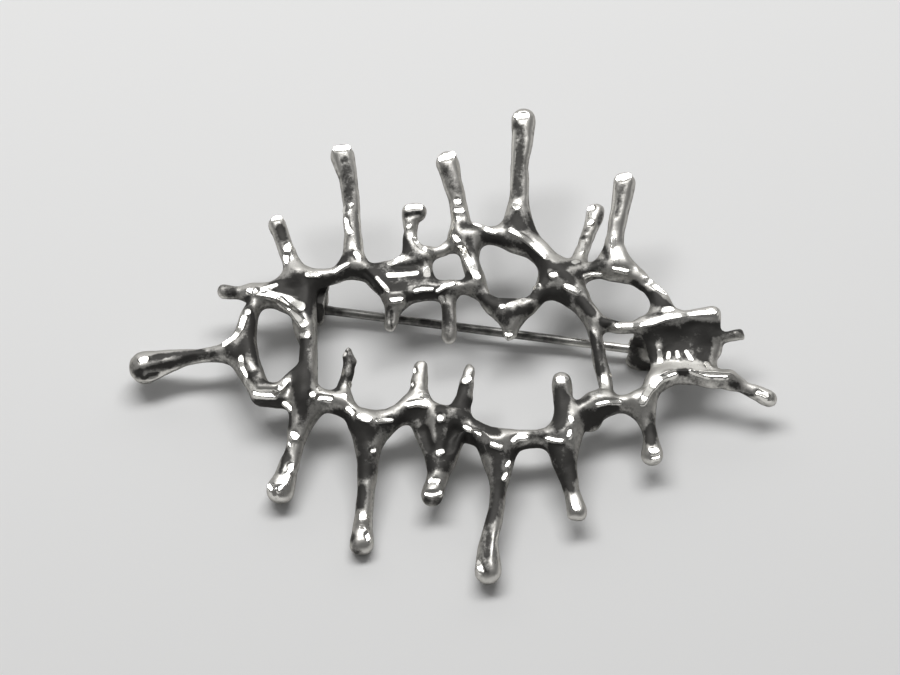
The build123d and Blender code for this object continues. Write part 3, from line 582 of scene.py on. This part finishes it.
# Wear strokes: below zero they darken, as tarnish and as painted shade; above zero they lighten, as
# wiped metal and as painted sheen and reflection.
WEAR_AND_PAINTED_LIGHT = {
    "back bar, left corner": Stroke(-1.2, 0.9, [(297, 284), (306, 292)]),
    "back bar, left front": Stroke(-1, 0.9, [(302, 282), (325, 281), (345, 275)]),
    "back bar, right front": Stroke(-1, 0.8, [(350, 272), (368, 275), (380, 291)]),
    "back bar, right slope": Stroke(0.2, 0.9, [(366, 264), (378, 270), (390, 274)]),
    "back drip 1, foot": Stroke(-1.2, 0.9, [(293, 271), (303, 274)]),
    "back drip 1, head": Stroke(-1, 0.9, [(279, 228), (281, 238)]),
    "back drip 1, neck": Stroke(-1.1, 0.8, [(280, 226), (285, 239)]),
    "back drip 1, root": Stroke(0.6, 0.8, [(291, 255), (297, 266)]),
    "back drip 2, lower right": Stroke(1, 0.9, [(356, 214), (357, 232), (361, 250)]),
    "back drip 2, right": Stroke(-1.3, 1.0, [(345, 160), (349, 185), (350, 200)]),
    "back drip 2, root": Stroke(-1.4, 1.2, [(340, 262), (352, 255)]),
    "back drip 3, foot": Stroke(-1.4, 1.0, [(404, 244), (412, 254), (424, 259)]),
    "back drip 3, neck": Stroke(-1, 0.6, [(404, 232), (405, 250)]),
    "back drip 3, throat": Stroke(-1, 0.8, [(405, 214), (422, 213)]),
    "back drip 4, head": Stroke(-1, 1.1, [(446, 168), (456, 190)]),
    "back drip 4, neck": Stroke(1.2, 0.8, [(455, 215), (452, 240)]),
    "back drip 4, root": Stroke(-1.3, 1.1, [(460, 225), (478, 229)]),
    "back drip 5, flat": Stroke(-1.3, 1.1, [(520, 132), (518, 165), (517, 195)]),
    "back drip 5, foot": Stroke(-0.9, 1.0, [(517, 214), (521, 227)]),
    "back drip 5, left edge": Stroke(1.0, 0.4, [(514, 132), (513, 160), (511, 188)]),
    "back drip 5, neck": Stroke(-1, 0.7, [(515, 125), (524, 126)]),
    "back drip 5, root": Stroke(-1, 0.9, [(528, 215), (536, 232)]),
    "back drip 5, root's front": Stroke(-1, 1.3, [(508, 222), (518, 224), (528, 228)]),
    "back drip 6": Stroke(-1, 0.7, [(602, 212), (598, 222)]),
    "back drip 6, foot": Stroke(-1.2, 0.8, [(548, 263), (560, 266), (578, 262)]),
    "back drip 6, head": Stroke(1, 0.8, [(588, 212), (591, 222)]),
    "back drip 6, middle": Stroke(-1.2, 0.6, [(587, 228), (583, 238)]),
    "back drip 7, left edge": Stroke(0.9, 0.5, [(614, 186), (614, 202), (612, 216)]),
    "back drip 7, right": Stroke(-1.2, 0.7, [(623, 184), (619, 200), (616, 216)]),
    "back drip 7, root": Stroke(-1, 0.7, [(604, 248), (608, 259)]),
    "back drip 7, root's left": Stroke(-1.1, 0.8, [(596, 262), (604, 266)]),
    "catch": Stroke(-1.4, 1.6, [(634, 344), (636, 360), (646, 366)]),
    "catch, left": Stroke(0.5, 0.9, [(641, 345), (647, 360)]),
    "front bar, arch's back": Stroke(-1.3, 0.7, [(474, 423), (488, 432), (500, 435)]),
    "front bar, fifth crown": Stroke(-1.4, 0.9, [(462, 412), (480, 421), (498, 431)]),
    "front bar, fourth face": Stroke(-1, 0.9, [(486, 449), (505, 456), (545, 449)]),
    "front bar, last face": Stroke(-1, 1.2, [(583, 415), (596, 415), (612, 408)]),
    "front bar, left face": Stroke(-1, 1.2, [(340, 415), (352, 424), (372, 432)]),
    "front bar, right crown": Stroke(-1.2, 0.9, [(578, 402), (590, 397), (600, 392)]),
    "front bar, second face": Stroke(-1, 1.3, [(385, 425), (402, 414), (425, 414)]),
    "front bar, seventh crown": Stroke(-1, 0.6, [(530, 434), (545, 434)]),
    "front bar, third face": Stroke(-1, 1.0, [(452, 424), (470, 441), (482, 448)]),
    "front drip 1, bead": Stroke(0.7, 0.9, [(272, 494), (281, 496)]),
    "front drip 1, bead's top": Stroke(-1.2, 0.5, [(284, 460), (280, 473)]),
    "front drip 1, neck": Stroke(-1.4, 0.9, [(283, 450), (287, 460)]),
    "front drip 1, root": Stroke(-1, 0.9, [(303, 410), (300, 425)]),
    "front drip 1, upper left": Stroke(-1.2, 0.8, [(289, 415), (290, 426)]),
    "front drip 2, bead's left": Stroke(-1.1, 0.8, [(352, 536), (356, 552)]),
    "front drip 2, bead's right": Stroke(0.7, 0.5, [(369, 515), (370, 530)]),
    "front drip 2, middle": Stroke(-0.8, 0.8, [(362, 488), (361, 508)]),
    "front drip 2, root": Stroke(-1.4, 1.5, [(360, 430), (366, 450), (366, 470)]),
    "front drip 2, stem": Stroke(-1, 1.0, [(365, 470), (362, 505)]),
    "front drip 3, crown": Stroke(-1, 1.2, [(440, 408), (452, 411), (460, 416)]),
    "front drip 3, end": Stroke(-1, 0.9, [(426, 501), (440, 502)]),
    "front drip 3, flank": Stroke(-1.3, 1.0, [(456, 440), (450, 454)]),
    "front drip 3, left": Stroke(-1.3, 1.1, [(420, 428), (430, 450), (432, 468)]),
    "front drip 3, ridge": Stroke(-1.4, 0.8, [(440, 408), (440, 425), (439, 446)]),
    "front drip 3, right": Stroke(-1.3, 1.3, [(456, 430), (449, 450), (444, 466)]),
    "front drip 4, bead's middle": Stroke(-1.2, 1.0, [(489, 515), (486, 550), (487, 570)]),
    "front drip 4, bead's right": Stroke(1, 0.6, [(497, 532), (496, 548), (494, 562)]),
    "front drip 4, stem": Stroke(-1.4, 1.0, [(497, 462), (499, 490), (494, 515)]),
    "front drip 5, bead's top": Stroke(-1.2, 0.6, [(570, 486), (573, 491)]),
    "front drip 5, right": Stroke(-1.2, 0.9, [(570, 452), (573, 476)]),
    "front drip 5, root": Stroke(-1.4, 1.6, [(557, 450), (566, 480)]),
    "front drip 6": Stroke(-1, 0.7, [(652, 415), (652, 436)]),
    "front drip 6, bead's top": Stroke(-1.2, 0.5, [(647, 441), (652, 443)]),
    "front drip 6, neck": Stroke(-1.4, 1.0, [(651, 430), (652, 442)]),
    "front spike 1": Stroke(-1.4, 1.3, [(345, 352), (350, 364), (351, 378)]),
    "front spike 1, root": Stroke(-1.3, 0.7, [(336, 391), (341, 378)]),
    "front spike 2": Stroke(-0.6, 0.9, [(420, 370), (414, 386)]),
    "front spike 2, left": Stroke(-1, 0.6, [(407, 393), (411, 383)]),
    "front spike 3": Stroke(-1.4, 1.1, [(464, 387), (462, 402)]),
    "front spike 3, left": Stroke(-1.3, 0.8, [(461, 388), (459, 398), (454, 404)]),
    "front spike 3, root": Stroke(-1.2, 0.9, [(453, 404), (472, 403)]),
    "front spike 4": Stroke(-1.4, 1.1, [(560, 388), (557, 430)]),
    "front spike 4, right": Stroke(-1.3, 1.0, [(566, 398), (562, 424)]),
    "front stub": Stroke(-1, 1.2, [(588, 425), (597, 422)]),
    "hinge corner": Stroke(-1.4, 1.6, [(280, 286), (296, 284), (312, 287), (320, 292)]),
    "hinge corner, inner": Stroke(-1, 1.4, [(272, 287), (285, 290), (303, 292)]),
    "hinge corner, lower": Stroke(-1.2, 1.4, [(302, 300), (303, 308), (312, 296)]),
    "hinge ear": Stroke(-1.4, 1.2, [(317, 295), (318, 308), (317, 318)]),
    "hinge, ear": Stroke(-1.4, 0.9, [(316, 292), (318, 312)]),
    "inner spike 1": Stroke(-1, 0.7, [(389, 308), (390, 326)]),
    "inner spike 2": Stroke(-1.4, 1.0, [(446, 308), (449, 335)]),
    "inner spike 3": Stroke(-1, 0.8, [(500, 316), (509, 324)]),
    "knob, back": Stroke(-1, 1.0, [(560, 268), (575, 275), (592, 268)]),
    "knob, front": Stroke(-1.4, 1.5, [(534, 296), (548, 294), (562, 298)]),
    "knob, left": Stroke(-1, 0.7, [(545, 262), (552, 267)]),
    "knob, middle": Stroke(-1.4, 0.8, [(562, 274), (574, 283)]),
    "large ring, back right slope": Stroke(-1.1, 0.8, [(528, 247), (540, 262)]),
    "large ring, front face": Stroke(-1.4, 1.0, [(510, 313), (530, 308)]),
    "large ring, front top": Stroke(-1.4, 1.1, [(490, 299), (505, 301), (520, 295)]),
    "large ring, left front": Stroke(-1, 0.9, [(476, 285), (484, 298), (494, 308)]),
    "large ring, left side": Stroke(-1, 0.9, [(484, 236), (505, 241), (522, 246)]),
    "large ring, left top": Stroke(-1.2, 0.8, [(469, 238), (471, 254)]),
    "large ring, right side": Stroke(-1, 0.9, [(541, 262), (546, 280)]),
    "large ring, right top": Stroke(-1.3, 0.8, [(534, 256), (542, 268), (543, 282)]),
    "leaf, all over": Stroke(-1.2, 2.1, [(372, 268), (395, 272), (412, 276), (432, 281)]),
    "leaf, back": Stroke(0.1, 0.7, [(396, 262), (412, 262), (424, 258)]),
    "leaf, front": Stroke(-1, 0.7, [(392, 290), (404, 284)]),
    "leaf, front edge": Stroke(-1.3, 0.9, [(374, 274), (386, 286), (404, 290)]),
    "leaf, middle": Stroke(0.2, 0.6, [(398, 280), (425, 280)]),
    "left drip, band": Stroke(-1, 0.8, [(140, 372), (170, 365), (215, 352)]),
    "left drip, dent": Stroke(-1.4, 0.5, [(143, 378), (158, 375)]),
    "left drip, end": Stroke(-1, 0.8, [(131, 365), (138, 376)]),
    "left drip, knob's right": Stroke(-1.2, 0.7, [(150, 359), (160, 358)]),
    "left drip, lower side": Stroke(0.6, 0.7, [(150, 378), (175, 370), (205, 361)]),
    "left drip, top": Stroke(-1.4, 0.6, [(156, 356), (178, 354), (202, 351)]),
    "left ring, crown": Stroke(-1.2, 0.9, [(247, 301), (249, 312), (247, 330), (247, 362)]),
    "left ring, front face": Stroke(0.8, 0.8, [(246, 383), (256, 392), (284, 391)]),
    "left ring, front side": Stroke(-1, 1.0, [(252, 402), (270, 405), (283, 403)]),
    "left ring, inner front": Stroke(-1.4, 0.9, [(250, 374), (258, 381), (272, 384)]),
    "left ring, inner side": Stroke(-1, 0.6, [(254, 318), (252, 340), (258, 372)]),
    "left ring, outer side": Stroke(-1.4, 1.2, [(228, 348), (237, 352), (243, 345)]),
    "left ring, right front": Stroke(-1, 0.9, [(283, 377), (296, 367)]),
    "left stub": Stroke(-1.4, 1.0, [(220, 286), (232, 290)]),
    "left wall": Stroke(-1.4, 1.4, [(304, 340), (303, 372), (302, 392)]),
    "left wall, right strand": Stroke(0.5, 0.6, [(313, 320), (315, 345), (315, 372)]),
    "left wall, root": Stroke(-1.2, 1.6, [(300, 376), (302, 402)]),
    "left wall, top": Stroke(-1.2, 0.6, [(308, 300), (310, 320)]),
    "middle bar, front": Stroke(-1, 0.8, [(408, 297), (430, 295), (452, 291)]),
    "right drip": Stroke(-1, 0.8, [(733, 384), (750, 392)]),
    "right drip, side": Stroke(0.6, 0.8, [(742, 386), (757, 390), (770, 400)]),
    "right ring, corner": Stroke(-1.4, 1.0, [(654, 294), (668, 306)]),
    "right ring, foot": Stroke(-1, 0.6, [(646, 317), (662, 313)]),
    "right ring, front": Stroke(-1, 0.8, [(578, 300), (590, 312), (605, 322)]),
    "right ring, front lip": Stroke(-1.2, 0.7, [(603, 322), (618, 321)]),
    "right ring, side": Stroke(-1, 0.8, [(636, 284), (650, 296), (658, 303)]),
    "right stub": Stroke(-1.4, 1.1, [(710, 332), (742, 331)]),
    "ring of four, corner": Stroke(-1.4, 1.0, [(462, 279), (470, 276)]),
    "strut": Stroke(-1, 0.7, [(592, 330), (596, 350), (599, 370)]),
    "strut, head": Stroke(-1.4, 0.8, [(582, 299), (592, 312)]),
    "strut, left ridge": Stroke(0.9, 0.35, [(588, 318), (595, 335), (598, 352), (600, 366)]),
    "strut, middle": Stroke(-1.4, 0.9, [(594, 338), (600, 352), (600, 372)]),
    "trough, back": Stroke(-1, 1.6, [(652, 333), (680, 330), (712, 326)]),
    "trough, back lip's end": Stroke(0.8, 0.8, [(697, 316), (717, 315)]),
    "trough, floor": Stroke(-0.9, 1.3, [(664, 352), (680, 352), (698, 356)]),
    "trough, floor's front": Stroke(0.5, 0.8, [(670, 364), (690, 366), (702, 364)]),
    "trough, left end": Stroke(-1, 0.7, [(647, 340), (654, 356)]),
    "trough, left wall": Stroke(-1.2, 1.0, [(648, 342), (654, 358)]),
    "trough, lip's gap": Stroke(-1.4, 0.7, [(679, 371), (686, 371)]),
    "trough, middle": Stroke(-1, 0.9, [(668, 345), (690, 344), (704, 342)]),
    "trough, right wall": Stroke(-1, 0.8, [(709, 342), (705, 362)]),
}
KINDS = {"rim": RIMS, "flat": FLATS, "dent": DENTS, "swelling": SWELLINGS, "wear": WEAR_AND_PAINTED_LIGHT}
PIXELS_ACROSS = 900
PIXELS_DOWN = 675
EVEN_REACH = 3
PUSH_STEP = 3
FLAT_SHARE = 0.55
FACING_LEAST = 0.1
WEAR_AND_PAINTED_LIGHT_FADE = 1.5
NO_LENGTH = 2e-8  # keeps a stroke of one place from a division by zero
UNEVEN = [(2.1 * MM, 0.075 * MM), (0.75 * MM, 0.028 * MM)]
KEPT_SHARE = 0.32
view_right = Vector((1, 0, 0))
view_up = view_right.cross(view_direction)
bpy.context.view_layer.update()


def seen_at(pixel):
    """The skin's place and outward direction where the photo shows this pixel."""
    sideways = (pixel[0] - PIXELS_ACROSS / 2) * VIEW_WIDTH / PIXELS_ACROSS
    upwards = (PIXELS_DOWN / 2 - pixel[1]) * VIEW_WIDTH / PIXELS_ACROSS
    ray = VIEW_DISTANCE * view_direction + sideways * view_right + upwards * view_up
    hit, place, normal, _ = casting.ray_cast(camera.location, ray.normalized())
    return (place, normal) if hit else None


def evened(values):
    """A run of places or directions with each one averaged over its neighbours."""
    padded = np.concatenate([values[:1]] * EVEN_REACH + [values] + [values[-1:]] * EVEN_REACH)
    return np.mean([padded[step:step + len(values)] for step in range(2 * EVEN_REACH + 1)], axis=0)


def traced(pixels):
    """Places and directions of the skin along a line of pixels, one for each pixel's length."""
    seen = []
    for start, end in zip(pixels, pixels[1:]):
        steps = max(2, round(math.dist(start, end)))
        for step in range(steps + 1):
            share = step / steps
            seen.append(seen_at([a + share * (b - a) for a, b in zip(start, end)]))
    seen = [found for found in seen if found]
    assert seen, f"no skin is seen along {pixels}"
    places, directions = zip(*seen)
    return evened(np.array(places)), evened(np.array(directions))


def pushed(points):
    """How far the pushes carry each point of the skin, in the plane that faces the camera."""
    moves = np.zeros_like(points)
    for push in PUSHES.values():
        places = traced(push.pixels)[0]
        apart = np.linalg.norm(points[:, None] - places[None, ::PUSH_STEP], axis=2).min(axis=1)
        share = np.clip(1 - (apart / (push.width * MM)) ** 2, 0, 1) ** 2
        moves += share[:, None] * np.array((push.right * view_right + push.up * view_up) * MM)
    return moves


move_points(casting.data, points_of(casting.data) + pushed(points_of(casting.data)))
traces = [(kind, stroke, *traced(stroke.pixels)) for kind, strokes in KINDS.items()
          for stroke in strokes.values()]
# A facet that faces this way throws the soft box's light to the camera.
lit_direction = np.array((box_direction - view_direction).normalized())


def facet(kind, places, closest, points):
    """Which way the burnished plane at each point faces, and how far the point stands above it."""
    if kind == "flat":
        return lit_direction[None], (points - places.mean(axis=0)) @ lit_direction
    along = np.gradient(places, axis=0)
    along /= np.linalg.norm(along, axis=1)[:, None] + NO_LENGTH
    facing = lit_direction - (along @ lit_direction)[:, None] * along
    facing = (facing / np.linalg.norm(facing, axis=1)[:, None])[closest]
    return facing, ((points - places[closest]) * facing).sum(axis=1)


def stroke_marks(points, normals):
    """For each point of the skin, how far the strokes move it and burnish it, and how far wear strokes
    darken or lighten it: tarnish and wiping together with painted shade and painted sheen.
    """
    moves = np.zeros_like(points)
    burnish = np.zeros(len(points))
    wear = np.zeros(len(points))
    for kind, stroke, places, directions in traces:
        width = stroke.width * MM
        near = np.flatnonzero(np.all((points > places.min(axis=0) - width)
                                     & (points < places.max(axis=0) + width), axis=1))
        apart = np.linalg.norm(points[near, None] - places[None], axis=2)
        closest = apart.argmin(axis=1)
        share = np.clip(1 - (apart.min(axis=1) / width) ** 2, 0, 1)
        share *= (normals[near] * directions[closest]).sum(axis=1) > FACING_LEAST
        # wear strokes carry tarnish and wiping together with painted shade and painted sheen
        if kind == "wear":
            wear[near] += stroke.height * share ** WEAR_AND_PAINTED_LIGHT_FADE
        elif kind in ("rim", "flat"):
            facing, above = facet(kind, places, closest, points[near])
            flat = np.clip(share / FLAT_SHARE, 0, 1)
            flat = flat * flat * (3 - 2 * flat)
            moves[near] += (flat * (stroke.height * MM - above))[:, None] * facing
            burnish[near] = np.maximum(burnish[near], share)
        else:
            moves[near] += (stroke.height * MM * share ** 2)[:, None] * normals[near]
    return moves, burnish, wear


skin = points_of(casting.data)
normals = normals_of(casting.data)
uneven = np.zeros(len(skin))
for length, height in UNEVEN:
    uneven += [height * noise.noise(Vector(point) / length) for point in skin]
skin += uneven[:, None] * normals
skin += stroke_marks(skin, normals)[0]
low, high = (np.array(corner) for corner in cad_box)
move_points(casting.data, np.clip(skin, low, high))
flats = casting.vertex_groups.new(name="burnished flats")
flats.add(np.flatnonzero(stroke_marks(skin, normals)[1] > 0).tolist(), 1.0, "REPLACE")
apply_modifier(
    casting, "DECIMATE", ratio=KEPT_SHARE, vertex_group=flats.name, invert_vertex_group=True)
select_only(casting)
bpy.ops.object.shade_smooth()

# Colour: burnished rims are polished bright and dark oxide stays in the hollows. Faces that look up
# are coloured lighter and the flanks darker. Wear strokes darken or lighten their places as tarnish
# and wiping together with painted shade and painted sheen.
mesh = casting.data
skin = points_of(mesh)
normals = normals_of(mesh)
ends = np.array([edge.vertices[:] for edge in mesh.edges])
neighbours = np.bincount(ends.ravel(), minlength=len(skin))[:, None]


def softened(values, times):
    """Each point's value, evened out with its neighbours' so many times."""
    for _ in range(times):
        total = np.zeros_like(values)
        for axis in range(values.shape[1]):
            total[:, axis] = (
                np.bincount(ends[:, 0], values[ends[:, 1], axis], len(values))
                + np.bincount(ends[:, 1], values[ends[:, 0], axis], len(values))
            )
        values = 0.5 * values + 0.5 * total / neighbours
    return values


def keep(name, values):
    """Puts one number for each point into the mesh, for its material."""
    mesh.attributes.new(name, "FLOAT", "POINT").data.foreach_set("value", values.astype(np.float32))


CREST_ROUNDS = 30
CREST_DEPTH = 0.1 * MM
keep("crest", ((skin - softened(skin, CREST_ROUNDS)) * normals).sum(axis=1) / CREST_DEPTH)
keep("upward", normals[:, 2])
_, burnish, wear = stroke_marks(skin, normals)
keep("burnish", burnish)
# this attribute carries tarnish and wiping together with painted shade and painted sheen
keep("wear", wear)

OXIDE = (0.066, 0.064, 0.061, 1)
SATIN = (0.66, 0.645, 0.61, 1)
POLISHED = (0.86, 0.845, 0.80, 1)
EDGE_TINT = (0.30, 0.295, 0.285, 1)
BLOTCHES_PER_METRE = 900
SPECKS_PER_METRE = 2600
GRAINS_PER_METRE = 6000
LIGHTER_FACING_UP = 0.75
WIPED_BY_STANDING_PROUD = 0.35
WIPED_BY_WEAR_AND_PAINTED_LIGHT = 0.95
WIPED_ALL_OVER = 0.2
BRIGHT_BY_WEAR_AND_PAINTED_LIGHT = 0.3
BRIGHT_ALL_OVER = 0.14
OXIDE_METALLIC = 0.55
OXIDE_ROUGHNESS = 0.58
SATIN_SMOOTHER = 0.12
POLISH_SMOOTHER = 0.28
PIT_DEPTH = 0.09 * MM


def mottle(place, per_metre, detail):
    """Cloudy noise round 0.5, with so many spots to the metre."""
    return place.node("ShaderNodeTexNoise", inputs={
        "Vector": place, "Scale": per_metre, "Detail": detail, "Roughness": 0.6})


silver, silver_shader, start = metal("oxidised cast silver with painted shade and sheen")
place = start.node("ShaderNodeTexCoord", output="Object")
crest, upward, burnished, worn_and_painted_light = (
    start.node("ShaderNodeAttribute", {"attribute_name": name}, output="Fac")
    for name in ("crest", "upward", "burnish", "wear")
)
blotches = mottle(place, BLOTCHES_PER_METRE, 4)
specks = mottle(place, SPECKS_PER_METRE, 3)
grain = mottle(place, GRAINS_PER_METRE, 2)
uneven_wear = (blotches - 0.5) + (specks - 0.5) + (grain - 0.5) * 0.5
# lighter where faces look up, on crests, and where wear strokes lighten; the wear strokes paint shade
# and sheen besides tarnish and wiping
wiped_and_painted_light = (upward * LIGHTER_FACING_UP + crest * WIPED_BY_STANDING_PROUD + uneven_wear
         + worn_and_painted_light * WIPED_BY_WEAR_AND_PAINTED_LIGHT + WIPED_ALL_OVER).within(-0.1, 1.0)
# wear strokes also add painted sheen to the polish
bright = (burnished + worn_and_painted_light * BRIGHT_BY_WEAR_AND_PAINTED_LIGHT + (specks - 0.5) * 0.25 + BRIGHT_ALL_OVER).within(0.0, 0.5)
bright.mix(wiped_and_painted_light.mix(OXIDE, SATIN), POLISHED).feed(silver_shader, "Base Color")
(wiped_and_painted_light * 0.5 + bright * 0.5 + OXIDE_METALLIC).feed(silver_shader, "Metallic")
roughness = OXIDE_ROUGHNESS - wiped_and_painted_light * SATIN_SMOOTHER - bright * POLISH_SMOOTHER + (grain - 0.5) * 0.1
roughness.feed(silver_shader, "Roughness")
silver_shader.inputs["Specular IOR Level"].default_value = 0.25
silver_shader.inputs["Specular Tint"].default_value = EDGE_TINT
start.node("ShaderNodeBump", output="Normal", inputs={
    "Height": (blotches * 0.6 + specks * 0.3 + grain * 0.1) * (1 - bright * 0.7),
    "Distance": PIT_DEPTH, "Strength": 0.8,
}).feed(silver_shader, "Normal")
casting.data.materials.clear()
casting.data.materials.append(silver)
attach(casting, "casting")
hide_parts("cast_frame")

# The pin stem and its rivet
# Hard-drawn silver wire with a flattened eye, and a short rivet through the eye and both ears.
# The end of the stem is coloured lighter, for rubbing by cloth and the catch and as a painted
# highlight along the wire there, and the rest is dull with tarnish.
TARNISHED_WIRE = (0.10, 0.098, 0.095, 1)
# the lighter colour of the stem's end paints a highlight and stands for rubbed metal
RUBBED_WIRE_AND_PAINTED_HIGHLIGHT = (0.75, 0.74, 0.70, 1)
STREAKS_PER_METRE = 700
RUBBED_AND_HIGHLIGHT_FROM = 12.0 * MM
RUBBED_AND_HIGHLIGHT_FULLY = 13.5 * MM
WIRE_ROUGHNESS = 0.30
wire, wire_shader, start = metal("drawn silver wire with painted highlight")
place = start.node("ShaderNodeTexCoord", output="Object")
streaks = mottle(place, STREAKS_PER_METRE, 3)
along = start.node("ShaderNodeSeparateXYZ", inputs={"Vector": place}, output="X")
# painted highlight with rubbing: the stem is coloured lighter towards its end
rubbed_and_painted_highlight = along.within(RUBBED_AND_HIGHLIGHT_FROM, RUBBED_AND_HIGHLIGHT_FULLY)
clean_and_painted_highlight = streaks.within(0.3, 0.7) * 0.35 + rubbed_and_painted_highlight * 0.65
clean_and_painted_highlight.mix(TARNISHED_WIRE, RUBBED_WIRE_AND_PAINTED_HIGHLIGHT).feed(wire_shader, "Base Color")
(WIRE_ROUGHNESS + streaks * 0.2 - rubbed_and_painted_highlight * 0.1).feed(wire_shader, "Roughness")
wire_shader.inputs["Metallic"].default_value = 1.0
for name in ("pin_stem", "hinge_rivet"):
    frame["nodes"][name].data.materials.clear()
    frame["nodes"][name].data.materials.append(wire)
